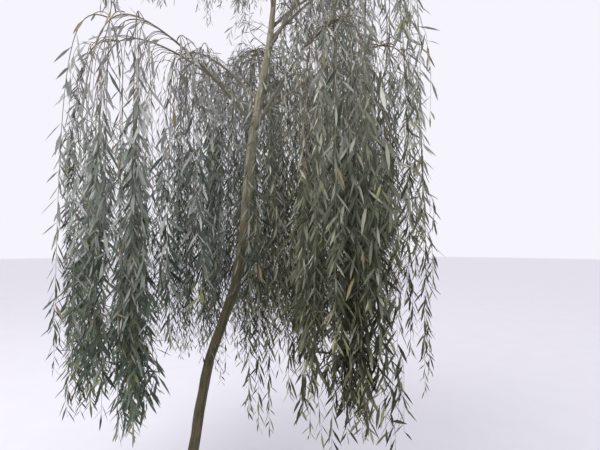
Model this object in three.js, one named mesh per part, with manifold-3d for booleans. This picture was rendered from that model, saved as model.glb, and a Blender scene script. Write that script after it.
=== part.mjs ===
// A young weeping willow, rooted in the ground: one slender leaning trunk with a root flare, boughs that arch
// out of it in tiers, and a curtain of hanging, leafy shoots on each bough round the open space under the crown.
// Lengths are in millimetres and angles in degrees. +Z is up, +X is to the right as one faces the tree from the
// front, and the origin is the middle of the trunk's flat cut at ground level. Masses of leaves are simplified:
// each blade stands for a spray of real leaves, and is larger than one.
import * as THREE from "three";
import { mergeVertices } from "three/addons/utils/BufferGeometryUtils.js";
import Module from "manifold-3d";

const wasm = await Module();
wasm.setup();

// The trunk at each of its gentle bends: height, place to the right, place to the back, and radius.
const TRUNK_BENDS = [
  [0, 0, 0, 33],
  [290, 44, 8, 30],
  [560, 84, 18, 29],
  [810, 133, 26, 28],
  [1020, 204, 24, 28],
  [1210, 270, 18, 29],
  [1440, 321, 6, 31],
  [1580, 340, 0, 33],
  [1760, 349, -6, 29],
  [2020, 371, -10, 26],
  [2310, 416, -4, 23],
  [2590, 464, 6, 19],
  [2890, 497, 12, 14.5],
  [3200, 518, 6, 11.5],
  [3520, 516, -6, 8],
  [3800, 492, -4, 5],
];
const FLARE_RADIUS = 30; // how far the roots' flare stands out of the trunk at ground level
const FLARE_HEIGHT = 75; // the flare fades upwards over this height
const FLARE_LOBES = 5;
const FLARE_LOBE_DEPTH = 0.3;
const TRUNK_SIDES = 10;
const TRUNK_RING_SPACING = 160;
const FLARE_RING_SPACING = 36;

// The crown's middle is a vertical line beside the upper trunk. Azimuths go round it from +X towards the back.
const CROWN_X = 480;
const BOUGH_SIDES = 5;
const BOUGH_STATIONS = [0, 0.06, 0.14, 0.28, 0.46, 0.7, 1];
const BOUGH_SHOULDER = 0.6; // a bough bends over at this share of its way out
const SHOULDER_RISE = 0.82; // and at this share of its rise
const BOUGH_TIP_RADIUS = 4;
const COLLAR_SWELL = 0.4; // a bough is this much thicker where it leaves the trunk
const COLLAR_LENGTH = 45;
const HEART_SHARE = 0.5; // its radius at the trunk's middle, against the radius at the collar
const SEAM = 0.3; // the gap between two pieces that meet
const CLEARANCE = 6; // from a twig or blade to a limb or to the edge of its mass's space
const OUTER_PLAY = 60; // how far out of a mass's outermost foot its twigs and blades may go

// Twigs and blades of the simplified masses.
const TWIG_SIDES = 3;
const STEM_RADIUS = 4;
const SHOOT_RADIUS = 3;
const SHOOT_TIP_RADIUS = 1.8;
const SHOOT_STATIONS = [0, 0.16, 0.35, 0.6, 1];
const HEADWAY = 0.8; // a shoot keeps its first heading over about this share of its way out
const LEAST_HEADWAY = 40;
const SHOULDER_DROP = 0.12; // share of its fall that a shoot's shoulder is below its start
const STEM_SHARE = 0.93; // the stem hangs this far out in its mass
const FOOT_JITTER = 0.4; // share of the spacing between the feet of side shoots
const FOOT_ASIDE = [0.25, 0.78]; // how far aside of the stem they hang, as a share of the mass's half width
const ROUND_ANGLE = 137.5; // between one foot and the next, round a mass that goes all round the trunk
const BLADE_WIDTH = 56;
const BLADE_THICKNESS = 7;
const BLADE_WIDEST = 0.3; // share of the blade's length from its root
const BLADE_SPLAY = 17; // angle between a blade and its shoot
const CLOSE_SPLAY = 8; // the same for a shoot's last blade, and where there is little room
const BLADE_SAG = 0.75; // how far a blade hangs down from a level shoot, against how far it points along it
const FIRST_BLADE = 0.1; // share of the shoot's length
const LAST_BLADE = 0.985;
const BLADE_JITTER = 0.6; // share of the spacing between blades
const SPINE_SHARES = [0.15, BLADE_WIDEST, 0.65, 1]; // points of a blade that must be clear

// A mass of one tier lies between two bowl-shaped surfaces round the crown's middle, each [first, last, fall]:
// the height over the middle for the tier's first and last mass, and how far it falls at CROWN_RADIUS.
const CROWN_RADIUS = 1150;
const GROUND_GAP = [560, 560, 0];
const LEFT_CEILING = [3060, 2760, 120];
const LEFT_FLOOR = [3100, 2760, 120];
const RIGHT_CEILING = [2960, 2960, 280];
const MID_FLOOR = [1000, 1000, 0];
const TOP_FLOOR = [3520, 3520, -350];
const SKY = [4300, 4300, 0];

// The tiers of boughs. Each tier has count boughs, step degrees apart from azimuth first. start and rise give
// where the first and the last of them leave the trunk, and how much higher their tips are. reach is how far a
// tip is from the crown's middle, and inner and outer are how near and far its shoots hang. The side shoots
// leave the stem over the leave shares of its length. halfWidth is half the angle that a mass has to itself.
// Its shoots end between the floor and the floor plus ragged. start, rise and inner are each a pair, for the
// tier's first and last bough.
const TIERS = [
  {
    name: "low_left", count: 4, first: 102.5, step: 40, halfWidth: 18.7, start: [2380, 2150], rise: [520, 370],
    reach: 700, radius: 10.5, inner: [540, 740], outer: 1130, floor: GROUND_GAP, ceiling: LEFT_CEILING,
    ragged: 420, arch: 0.25, leave: [0.02, 0.16], shoots: 5, blades: 5, blade: 320, seed: 11,
  },
  {
    name: "low_right", count: 4, first: 298, step: 44.3, halfWidth: 10.7, start: [2120, 2330], rise: [360, 330],
    reach: 560, radius: 10, inner: [420, 360], outer: 930, floor: GROUND_GAP, ceiling: RIGHT_CEILING,
    ragged: 380, arch: 0.25, leave: [0.02, 0.16], shoots: 5, blades: 5, blade: 300, seed: 23,
  },
  {
    name: "mid_right", count: 3, first: 320.2, step: 44.3, halfWidth: 10.7, start: [2600, 2740], rise: [440, 410],
    reach: 520, radius: 9.5, inner: [380, 340], outer: 930, floor: MID_FLOOR, ceiling: TOP_FLOOR,
    ragged: 560, arch: 0.25, leave: [0.02, 0.16], shoots: 4, blades: 5, blade: 300, seed: 37,
  },
  {
    name: "high_left", count: 4, first: 112, step: 49.5, halfWidth: 23.6, start: [3030, 2850], rise: [360, 350],
    reach: 260, radius: 7.5, inner: [180, 180], outer: 900, floor: LEFT_FLOOR, ceiling: TOP_FLOOR,
    ragged: 160, arch: 0.2, leave: [0.02, 0.3], shoots: 4, blades: 4, blade: 240, seed: 41,
  },
  {
    name: "high_right", count: 4, first: 298, step: 44.3, halfWidth: 10.7, start: [2960, 3090], rise: [350, 310],
    reach: 290, radius: 7, inner: [300, 300], outer: 860, floor: RIGHT_CEILING, ceiling: TOP_FLOOR,
    ragged: 250, arch: 0.2, leave: [0.02, 0.3], shoots: 4, blades: 3, blade: 250, seed: 53,
  },
];
const LEADER = {
  name: "leader", share: 0, azimuth: 200, halfWidth: 180, reach: 0, inner: 110, outer: 500, floor: TOP_FLOOR,
  ceiling: SKY, ragged: 110, arch: 0.2, leave: [0.02, 0.25], shoots: 9, blades: 3, blade: 200, seed: 79,
};

const BARK = new THREE.MeshStandardMaterial({ color: 0x6b6045, roughness: 0.85, metalness: 0 });
const YOUNG_BARK = new THREE.MeshStandardMaterial({ color: 0x7a6f4a, roughness: 0.7, metalness: 0 });
const FOLIAGE = new THREE.MeshStandardMaterial({ color: 0x5a6b55, roughness: 0.6, metalness: 0 });
for (const material of [BARK, YOUNG_BARK, FOLIAGE]) material.flatShading = true;

const UP = new THREE.Vector3(0, 0, 1);
const BACK = new THREE.Vector3(0, 1, 0);
const TRUNK_TOP = TRUNK_BENDS.at(-1)[0];
const BUTT_RADIUS = TRUNK_BENDS[0][3];
const radians = THREE.MathUtils.degToRad;
const mix = THREE.MathUtils.lerp;

// A seeded run of numbers from 0 to 1, always the same for the same seed.
function seeded(seed) {
  let state = seed >>> 0;
  return () => {
    state = (state + 0x6d2b79f5) >>> 0;
    let t = Math.imul(state ^ (state >>> 15), state | 1);
    t ^= t + Math.imul(t ^ (t >>> 7), t | 61);
    return ((t ^ (t >>> 14)) >>> 0) / 4294967296;
  };
}

// A point given by its distance from the crown's middle, its azimuth and its height.
function aroundCrown(distance, azimuth, height) {
  const a = radians(azimuth);
  return new THREE.Vector3(CROWN_X + distance * Math.cos(a), distance * Math.sin(a), height);
}

// One column of the trunk's bends at a height: a cubic that passes each of the bends smoothly.
function trunkAt(height, column) {
  const bends = TRUNK_BENDS;
  let i = 0;
  while (i < bends.length - 2 && height > bends[i + 1][0]) i += 1;
  const slope = (k) => {
    const [before, after] = [bends[Math.max(k - 1, 0)], bends[Math.min(k + 1, bends.length - 1)]];
    return (after[column] - before[column]) / (after[0] - before[0]);
  };
  const span = bends[i + 1][0] - bends[i][0];
  const t = (height - bends[i][0]) / span;
  return (
    bends[i][column] * (1 + 2 * t) * (1 - t) ** 2 +
    bends[i + 1][column] * t * t * (3 - 2 * t) +
    span * (slope(i) * t * (1 - t) ** 2 + slope(i + 1) * t * t * (t - 1))
  );
}

function trunkMiddle(height) {
  return new THREE.Vector3(trunkAt(height, 1), trunkAt(height, 2), height);
}

// How much the root flare adds to the trunk's radius, at a height and an angle round it.
function flare(height, angle) {
  const lobes = 1 + FLARE_LOBE_DEPTH * Math.cos(FLARE_LOBES * angle);
  return FLARE_RADIUS * lobes * Math.exp(-Math.max(height, 0) / FLARE_HEIGHT);
}

// Square frames along a path, each turned from the last by no more than the path turns, with the first one's
// across nearest to the given one. The first may be given its own heading, to lie flat on another limb's end.
function framesAlong(path, firstAcross, firstHeading) {
  let across = firstAcross;
  return path.map((point, i) => {
    const ahead = path[Math.min(i + 1, path.length - 1)];
    const chord = ahead.clone().sub(path[Math.max(i - 1, 0)]).normalize();
    const along = i === 0 && firstHeading ? firstHeading : chord;
    across = across.clone().addScaledVector(along, -across.dot(along)).normalize();
    return { across, beside: across.clone().cross(along) };
  });
}

// A closed solid from a three.js geometry, with shared vertices merged.
function solid(geometry) {
  geometry.deleteAttribute("normal");
  geometry.deleteAttribute("uv");
  const merged = mergeVertices(geometry, 1e-4);
  return new wasm.Manifold(
    new wasm.Mesh({
      numProp: 3,
      vertProperties: merged.getAttribute("position").array,
      triVerts: new Uint32Array(merged.index.array),
    }),
  );
}

// A cylinder bent along a path: each of its rings goes to one point of the path and takes the radius there.
function bentCylinder(path, frames, radiusAt, sides) {
  const steps = path.length - 1;
  const geometry = new THREE.CylinderGeometry(1, 1, 1, sides, steps);
  const position = geometry.getAttribute("position");
  for (let i = 0; i < position.count; i += 1) {
    const ring = Math.round((position.getY(i) + 0.5) * steps);
    const [x, z] = [position.getX(i), position.getZ(i)];
    const radius = radiusAt(ring / steps, path[ring], Math.atan2(z, x));
    const place = path[ring].clone();
    place.addScaledVector(frames[ring].across, x * radius).addScaledVector(frames[ring].beside, z * radius);
    position.setXYZ(i, place.x, place.y, place.z);
  }
  return solid(geometry);
}

function meshOf(name, made, material) {
  const { vertProperties, triVerts } = made.getMesh();
  const geometry = new THREE.BufferGeometry();
  geometry.setAttribute("position", new THREE.BufferAttribute(new Float32Array(vertProperties), 3));
  geometry.setIndex(new THREE.BufferAttribute(new Uint32Array(triVerts), 1));
  const mesh = new THREE.Mesh(geometry, material);
  mesh.name = name;
  return mesh;
}

// The middles of the trunk's rings, close together in its flare.
function trunkPath() {
  const path = [];
  const roots = 3 * FLARE_HEIGHT;
  let height = -FLARE_RING_SPACING;
  while (height < TRUNK_TOP - TRUNK_RING_SPACING / 2) {
    path.push(trunkMiddle(height));
    height += height < roots ? FLARE_RING_SPACING : TRUNK_RING_SPACING;
  }
  path.push(trunkMiddle(TRUNK_TOP));
  return path;
}

// The trunk, or with grow the same trunk a little thicker, which cuts a bough's seat.
function trunkSolid(grow) {
  const radiusAt = (t, point, angle) => trunkAt(point.z, 3) + flare(point.z, angle) + grow;
  const path = trunkPath();
  return bentCylinder(path, framesAlong(path, BACK), radiusAt, TRUNK_SIDES).trimByPlane([0, 0, 1], 0);
}

// Which way a path runs at its end.
function endHeading(path) {
  return path.at(-1).clone().sub(path.at(-2)).normalize();
}

// A bough's path: out of the trunk, up, and nearly level at its tip.
function boughPath(bough) {
  const from = trunkMiddle(bough.start);
  const tip = aroundCrown(bough.reach, bough.azimuth, bough.start + bough.rise);
  const shoulder = from.clone().lerp(tip, BOUGH_SHOULDER).setZ(bough.start + SHOULDER_RISE * bough.rise);
  const curve = new THREE.QuadraticBezierCurve3(from, shoulder, tip);
  return BOUGH_STATIONS.map((t) => curve.getPoint(t));
}

function boughSolid(bough, path) {
  const radiusAt = (t, point) => {
    const away = point.distanceTo(path[0]);
    const share = away / path[0].distanceTo(path.at(-1));
    const collar = (1 + COLLAR_SWELL * Math.exp(-away / COLLAR_LENGTH)) * (t > 0 ? 1 : HEART_SHARE);
    return mix(bough.radius, BOUGH_TIP_RADIUS, share) * collar;
  };
  return bentCylinder(path, framesAlong(path, BACK), radiusAt, BOUGH_SIDES);
}

// The height of a bowl-shaped surface at a distance from the crown's middle. share is 0 for a tier's first mass
// and 1 for its last.
function bowl([first, last, fall], share, distance) {
  return mix(first, last, share) - fall * (distance / CROWN_RADIUS) ** 2;
}

// Whether a point lies in a mass's own space, with a margin to each side of it.
function inSpace(mass, point, margin) {
  const [dx, dy] = [point.x - CROWN_X, point.y];
  const distance = Math.hypot(dx, dy);
  const turn = THREE.MathUtils.euclideanModulo(radians(mass.azimuth) - Math.atan2(dy, dx) + Math.PI, 2 * Math.PI);
  const aside = radians(mass.halfWidth) - Math.abs(turn - Math.PI);
  const sideways = mass.halfWidth === 180 || distance * Math.sin(Math.min(aside, Math.PI / 2)) > margin;
  return (
    sideways &&
    distance < mass.outer + OUTER_PLAY &&
    point.z > bowl(mass.floor, mass.share, distance) + margin &&
    point.z < bowl(mass.ceiling, mass.share, distance) - margin
  );
}

// Whether every point is clear of the trunk and boughs.
function clearOfLimbs(points, limbs) {
  const nearest = new THREE.Vector3();
  return points.every((point) =>
    limbs.every(({ segments, radius }) =>
      segments.every((segment) => {
        segment.closestPointToPoint(point, true, nearest);
        return nearest.distanceTo(point) > radius + CLEARANCE;
      }),
    ),
  );
}

function limbOf(path, radius) {
  const segments = path.slice(1).map((point, i) => new THREE.Line3(path[i], point));
  return { path, segments, radius };
}

// A shoot leaves along its heading, arches over, and hangs straight down to its foot. arch is how much of its
// way out it still climbs before it falls. It is three-sided, and turn is how far it is turned about itself.
function weeping(start, heading, foot, arch, turn) {
  const away = Math.hypot(foot.x - start.x, foot.y - start.y);
  const out = start.clone().addScaledVector(heading, HEADWAY * away + LEAST_HEADWAY);
  const over = foot.clone().setZ(mix(start.z, foot.z, SHOULDER_DROP) + arch * away);
  const curve = new THREE.CubicBezierCurve3(start, out, over, foot);
  const path = SHOOT_STATIONS.map((t) => curve.getPoint(t));
  const across = heading.clone().cross(Math.abs(heading.z) < 0.9 ? UP : BACK).normalize();
  across.applyAxisAngle(heading, radians(turn));
  return { path, frames: framesAlong(path, across, heading) };
}

// The point of a shoot at a share of its length, which way it runs there, and which way one of its sides faces.
function onShoot({ path, frames }, share, side) {
  const lengths = path.slice(1).map((point, i) => point.distanceTo(path[i]));
  let left = share * lengths.reduce((sum, length) => sum + length, 0);
  let i = 0;
  while (i < lengths.length - 1 && left > lengths[i]) {
    left -= lengths[i];
    i += 1;
  }
  const heading = path[i + 1].clone().sub(path[i]).normalize();
  const point = path[i].clone().addScaledVector(heading, left);
  const angle = (2 * Math.PI * (side + 0.5)) / TWIG_SIDES;
  const { across, beside } = frames[i];
  const outward = across.clone().multiplyScalar(Math.sin(angle)).addScaledVector(beside, Math.cos(angle));
  outward.addScaledVector(heading, -outward.dot(heading)).normalize();
  return { point, heading, outward };
}

function twig({ path, frames }, radius) {
  return bentCylinder(path, frames, (t) => mix(radius, SHOOT_TIP_RADIUS, t), TWIG_SIDES);
}

// One blade: six faces from its root to its tip, widest near the root, with a keel along its back. It is a
// sphere of three sides, whose ring of three points is RING_HALF_WIDTH to each side and RING_DEPTH deep.
const RING_HALF_WIDTH = Math.sqrt(3) / 2;
const RING_DEPTH = 1.5;
function blade(root, along, across, length) {
  const geometry = new THREE.SphereGeometry(1, 3, 2);
  const position = geometry.getAttribute("position");
  const keel = across.clone().cross(along);
  for (let i = 0; i < position.count; i += 1) {
    const y = position.getY(i);
    const share = y > 0.5 ? 1 : y < -0.5 ? 0 : BLADE_WIDEST;
    const place = root.clone().addScaledVector(along, share * length);
    place.addScaledVector(across, (position.getZ(i) * BLADE_WIDTH) / (2 * RING_HALF_WIDTH));
    place.addScaledVector(keel, (-position.getX(i) * BLADE_THICKNESS) / RING_DEPTH);
    position.setXYZ(i, place.x, place.y, place.z);
  }
  return solid(geometry);
}

// The blades along a shoot, each out of the middle of one of its three sides. A blade that would leave its
// mass's space, or touch a limb, another shoot or another blade, takes another side or hangs closer, and is left
// out where neither helps.
function bladesOn(shoot, mass, limbs, crowd, random) {
  const made = [];
  const others = [...limbs, ...crowd.filter((one) => one.path !== shoot.path)];
  for (let i = 0; i < mass.blades; i += 1) {
    const last = i === mass.blades - 1;
    const place = last ? 1 : (i + BLADE_JITTER * random()) / (mass.blades - 1 + BLADE_JITTER);
    const firstSide = Math.floor(TWIG_SIDES * random());
    for (let attempt = 0; attempt < 2 * TWIG_SIDES; attempt += 1) {
      const share = mix(FIRST_BLADE, LAST_BLADE, place);
      const { point: root, heading, outward } = onShoot(shoot, share, firstSide + attempt);
      const splay = radians(last || attempt >= TWIG_SIDES ? CLOSE_SPLAY : BLADE_SPLAY);
      const along = heading.clone().multiplyScalar(Math.cos(splay)).addScaledVector(outward, Math.sin(splay));
      along.addScaledVector(UP, -BLADE_SAG * (1 - heading.z ** 2)).normalize();
      const across = outward.clone().cross(along).normalize();
      const spine = SPINE_SHARES.map((s) => root.clone().addScaledVector(along, s * mass.blade));
      const edges = [-0.5, 0.5].map((s) => spine[1].clone().addScaledVector(across, s * BLADE_WIDTH));
      const inside = [...edges, spine.at(-1)].every((place) => inSpace(mass, place, CLEARANCE));
      if (inside && clearOfLimbs([...spine, ...edges], others)) {
        made.push(blade(root, along, across, mass.blade));
        others.push(limbOf(spine.slice(1), BLADE_WIDTH / 2));
        crowd.push(limbOf(spine, BLADE_WIDTH / 2));
        break;
      }
    }
  }
  return made;
}

// One mass of foliage: a stem that carries on from its bough, with shoots out of it and blades on each.
function foliage(mass, start, heading, limbs) {
  const random = seeded(mass.seed);
  const footAt = (distance, azimuth) => {
    const lowest = bowl(mass.floor, mass.share, distance) + 2 * CLEARANCE + mass.blade;
    return aroundCrown(distance, azimuth, lowest + mass.ragged * random());
  };
  const from = start.clone().addScaledVector(heading, SEAM);
  const stem = weeping(from, heading, footAt(STEM_SHARE * mass.outer, mass.azimuth), mass.arch, 360 * random());
  const shoots = [stem];
  for (let i = 0; i < mass.shoots; i += 1) {
    const place = (i + 0.5 + FOOT_JITTER * (random() - 0.5)) / mass.shoots;
    const aside = mass.halfWidth * mix(...FOOT_ASIDE, random()) * (i % 2 ? 1 : -1);
    const turn = mass.halfWidth < 180 ? aside : ROUND_ANGLE * (i + 1);
    const foot = footAt(mix(mass.inner, mass.outer, place), mass.azimuth + turn);
    const leave = onShoot(stem, mix(...mass.leave, (i + random()) / mass.shoots), 0).point;
    const leaving = foot.clone().sub(leave).setZ(0).normalize().addScaledVector(UP, 2 * mass.arch).normalize();
    const shoot = weeping(leave, leaving, foot, mass.arch, 360 * random());
    const free = shoot.path.slice(1);
    if (free.every((point) => inSpace(mass, point, CLEARANCE)) && clearOfLimbs(free, limbs)) shoots.push(shoot);
  }
  const crowd = shoots.map(({ path }) => limbOf(path, BLADE_WIDTH / 2));
  return wasm.Manifold.union([
    twig(stem, STEM_RADIUS),
    ...shoots.slice(1).map((shoot) => twig(shoot, SHOOT_RADIUS)),
    ...shoots.flatMap((shoot) => bladesOn(shoot, mass, limbs, crowd, random)),
  ]);
}

// The boughs of all tiers, each with its own sizes worked out from its tier's.
function allBoughs() {
  return TIERS.flatMap((tier) =>
    Array.from({ length: tier.count }, (_, i) => {
      const share = i / (tier.count - 1);
      return {
        ...tier,
        share,
        name: `${tier.name}_${i + 1}`,
        azimuth: tier.first + i * tier.step,
        start: mix(...tier.start, share),
        rise: mix(...tier.rise, share),
        inner: mix(...tier.inner, share),
        seed: 100 * tier.seed + i,
      };
    }),
  );
}

const tree = new THREE.Group();
const boughs = allBoughs();
const paths = boughs.map(boughPath);
const limbs = [limbOf(trunkPath(), BUTT_RADIUS), ...boughs.map((bough, i) => limbOf(paths[i], bough.radius))];
const seat = trunkSolid(SEAM);

tree.add(meshOf("trunk", trunkSolid(0), BARK));
boughs.forEach((bough, i) => {
  tree.add(meshOf(`bough_${bough.name}`, boughSolid(bough, paths[i]).subtract(seat), YOUNG_BARK));
  const others = limbs.filter((limb, k) => k !== i + 1);
  tree.add(meshOf(`foliage_${bough.name}`, foliage(bough, paths[i].at(-1), endHeading(paths[i]), others), FOLIAGE));
});
const leaderHeading = endHeading(trunkPath());
const leader = foliage(LEADER, trunkMiddle(TRUNK_TOP), leaderHeading, limbs.slice(1));
tree.add(meshOf("foliage_leader", leader, FOLIAGE));

export default tree;
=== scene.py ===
import math

import bpy
import numpy as np
from mathutils import Euler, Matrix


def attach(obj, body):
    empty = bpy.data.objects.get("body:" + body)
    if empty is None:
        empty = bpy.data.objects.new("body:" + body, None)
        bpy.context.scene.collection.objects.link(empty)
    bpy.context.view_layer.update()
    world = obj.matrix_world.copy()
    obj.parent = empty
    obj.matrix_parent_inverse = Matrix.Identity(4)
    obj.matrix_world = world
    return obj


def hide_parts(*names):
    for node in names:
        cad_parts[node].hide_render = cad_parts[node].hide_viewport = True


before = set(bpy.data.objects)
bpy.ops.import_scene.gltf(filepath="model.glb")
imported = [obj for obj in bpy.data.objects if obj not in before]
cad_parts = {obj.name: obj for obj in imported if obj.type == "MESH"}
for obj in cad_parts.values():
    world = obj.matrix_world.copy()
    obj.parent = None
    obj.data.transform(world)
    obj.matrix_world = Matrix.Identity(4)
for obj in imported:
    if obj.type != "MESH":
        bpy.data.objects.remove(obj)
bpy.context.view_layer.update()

# Trunk
# A single stem of young willow wood under thin olive-brown bark, which grew leaning to the right and then
# straightened up. It swells at a knee where it was hurt, tapers all the way to its tip, spreads into a low
# root flare, and is cut flat at ground level.
TRUNK_BENDS = np.array([  # height, place to the right, place to the back, radius
    (0.00, 0.000, 0.000, 0.033),
    (0.29, 0.044, 0.008, 0.030),
    (0.56, 0.084, 0.018, 0.029),
    (0.81, 0.133, 0.026, 0.028),
    (1.02, 0.204, 0.024, 0.028),
    (1.21, 0.270, 0.018, 0.029),
    (1.44, 0.321, 0.006, 0.031),
    (1.58, 0.340, 0.000, 0.033),
    (1.76, 0.349, -0.006, 0.029),
    (2.02, 0.371, -0.010, 0.026),
    (2.31, 0.416, -0.004, 0.023),
    (2.59, 0.464, 0.006, 0.019),
    (2.89, 0.497, 0.012, 0.0145),
    (3.20, 0.518, 0.006, 0.0115),
    (3.52, 0.516, -0.006, 0.008),
    (3.80, 0.492, -0.004, 0.005),
])
TRUNK_TOP = 3.80
FLARE_RADIUS = 0.030
FLARE_HEIGHT = 0.075
FLARE_LOBES = 5
FLARE_LOBE_DEPTH = 0.3
TRUNK_SIDES = 56
TRUNK_RINGS = 420
LEVEL_HEIGHT = 0.15  # up to here the rings turn from level, at the cut, to square across the trunk
RIDGE_DEPTH = 0.00055  # of the bark's long shallow ridges
LUMP_DEPTH = 0.0009  # of the wood's slow swellings
RELIEF_RADIUS = 0.028  # where the trunk is this thick, its ridges and swellings are as deep as that
RELIEF_SHARES = (0.25, 1.2)  # and the least and the most of it, where it is thinner or thicker
SCAR_ALONG = 0.8  # heights from a scar's middle count for less, so it is longer than wide
SCAR_HOLLOW = 0.35  # the size of the hollow in its middle, against the scar's
SCAR_HOLLOW_DEPTH = 0.9
SCAR_STAIN = 1.1  # the size of the discoloured bark round it
WOUND_HEIGHT = 1.552  # of the reddish wound across the knee
WOUND_LENGTH = 0.034
WOUND_STAIN = 0.62
UP = np.array((0.0, 0.0, 1.0))
BACK = np.array((0.0, 1.0, 0.0))
# Scars and knots: height, angle round the trunk from the back towards the right, size, and how far they
# stand out.
SCARS = [
    (1.330, 235, 0.020, 0.0035),
    (1.545, 190, 0.032, 0.0030),
    (1.565, 140, 0.024, 0.0025),
    (1.240, 100, 0.014, 0.0020),
    (1.080, 200, 0.012, 0.0020),
    (0.930, 160, 0.015, 0.0025),
    (0.640, 215, 0.013, 0.0022),
    (0.420, 120, 0.016, 0.0024),
    (0.180, 260, 0.018, 0.0030),
    (1.730, 95, 0.012, 0.0030),
    (1.910, 230, 0.013, 0.0022),
    (2.060, 30, 0.012, 0.0020),
]


def trunk_at(height, column):
    """One column of the trunk's bends at each height: a cubic that passes each bend smoothly."""
    heights = TRUNK_BENDS[:, 0]
    values = TRUNK_BENDS[:, column]
    after = np.minimum(np.arange(len(heights)) + 1, len(heights) - 1)
    before = np.maximum(np.arange(len(heights)) - 1, 0)
    slopes = (values[after] - values[before]) / (heights[after] - heights[before])
    i = np.clip(np.searchsorted(heights, height) - 1, 0, len(heights) - 2)
    span = heights[i + 1] - heights[i]
    t = (height - heights[i]) / span
    kept = values[i] * (1 + 2 * t) * (1 - t) ** 2 + values[i + 1] * t * t * (3 - 2 * t)
    return kept + span * (slopes[i] * t * (1 - t) ** 2 + slopes[i + 1] * t * t * (t - 1))


def trunk_middle(height):
    """The middle of the trunk at each height."""
    height = np.asarray(height, float)
    return np.stack([trunk_at(height, 1), trunk_at(height, 2), height], axis=-1)


def unit(vectors):
    """Each vector at length 1."""
    return vectors / np.linalg.norm(vectors, axis=-1, keepdims=True)


def headings_along(path):
    """Which way a path runs at each of its points."""
    chords = np.diff(path, axis=0)
    return unit(np.vstack([chords[:1], chords[:-1] + chords[1:], chords[-1:]]))


def turned_from(turn, middle):
    """How far each turn is from the middle one, in radians, the short way round."""
    return (turn - middle + math.pi) % (2 * math.pi) - math.pi


def frames_along(headings, first_across):
    """Two directions square to a path at each point, which turn from one to the next no more than it does."""
    across = np.asarray(first_across, float)
    made = []
    for heading in headings:
        across = unit(across - heading * np.dot(across, heading))
        made.append(across)
    made = np.array(made)
    return made, np.cross(made, headings)


def waves(turn, along, seed, most_ridges, wavelength):
    """Uneven relief from -1 to 1: waves round a limb and along it, turn in radians and along in metres."""
    random = np.random.default_rng(seed)
    count = 14
    total = 0
    for _ in range(count):
        ridges = random.integers(0, most_ridges + 1)
        length = wavelength * random.uniform(0.5, 2)
        total = total + np.cos(ridges * turn + 2 * math.pi * (along / length + random.random()))
    return total / math.sqrt(count)


def tube(path, across, beside, radius):
    """A round limb's points, ring by ring, the four-cornered faces between the rings, and a flat face on each
    end. radius is an array of rings by sides."""
    rings, sides = radius.shape
    turn = 2 * math.pi * np.arange(sides) / sides
    outward = across[:, None] * np.cos(turn)[:, None] + beside[:, None] * np.sin(turn)[:, None]
    points = (path[:, None] + outward * radius[:, :, None]).reshape(-1, 3)
    ring = np.arange(rings - 1)[:, None] * sides
    side = np.arange(sides)
    after = (side + 1) % sides
    faces = np.stack([ring + side, ring + sides + side, ring + sides + after, ring + after], axis=-1)
    ends = np.stack([side, len(points) - 1 - side])
    return points, faces.reshape(-1, 4), ends


def added(name, data):
    """A new object in the scene, with its mesh, lamp or camera."""
    made = bpy.data.objects.new(name, data)
    bpy.context.scene.collection.objects.link(made)
    return made


def mesh_piece(name, points, faces, materials):
    """A mesh made from arrays. faces is a list of pairs: corners, a row for each face, and the material."""
    mesh = bpy.data.meshes.new(name)
    corners = np.concatenate([rows.ravel() for rows, _ in faces])
    sizes = np.concatenate([np.full(len(rows), rows.shape[1]) for rows, _ in faces])
    numbers = np.concatenate([np.broadcast_to(number, len(rows)) for rows, number in faces])
    mesh.vertices.add(len(points))
    mesh.vertices.foreach_set("co", np.asarray(points, np.float32).ravel())
    mesh.loops.add(len(corners))
    mesh.loops.foreach_set("vertex_index", corners.astype(np.int32))
    mesh.polygons.add(len(sizes))
    mesh.polygons.foreach_set("loop_start", (np.cumsum(sizes) - sizes).astype(np.int32))
    for material in materials:
        mesh.materials.append(material)
    mesh.polygons.foreach_set("material_index", numbers.astype(np.int32))
    mesh.polygons.foreach_set("use_smooth", sizes < 5)
    mesh.update(calc_edges=True)
    return added(name, mesh)


def mark(piece, name, values):
    """Stores a number or a place for each of the mesh's points, for the bark's material to read."""
    kind, key = ("FLOAT", "value") if values.ndim == 1 else ("FLOAT_VECTOR", "vector")
    attribute = piece.data.attributes.new(name, kind, "POINT")
    attribute.data.foreach_set(key, values.astype(np.float32).ravel())


def straightened(lengths, turn, radius):
    """Where each point would be if the limb were straight, so that the bark's grain follows the limb."""
    along = np.broadcast_to(lengths[:, None], radius.shape)
    return np.stack([radius * np.cos(turn), radius * np.sin(turn), along], axis=-1).reshape(-1, 3)


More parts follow.
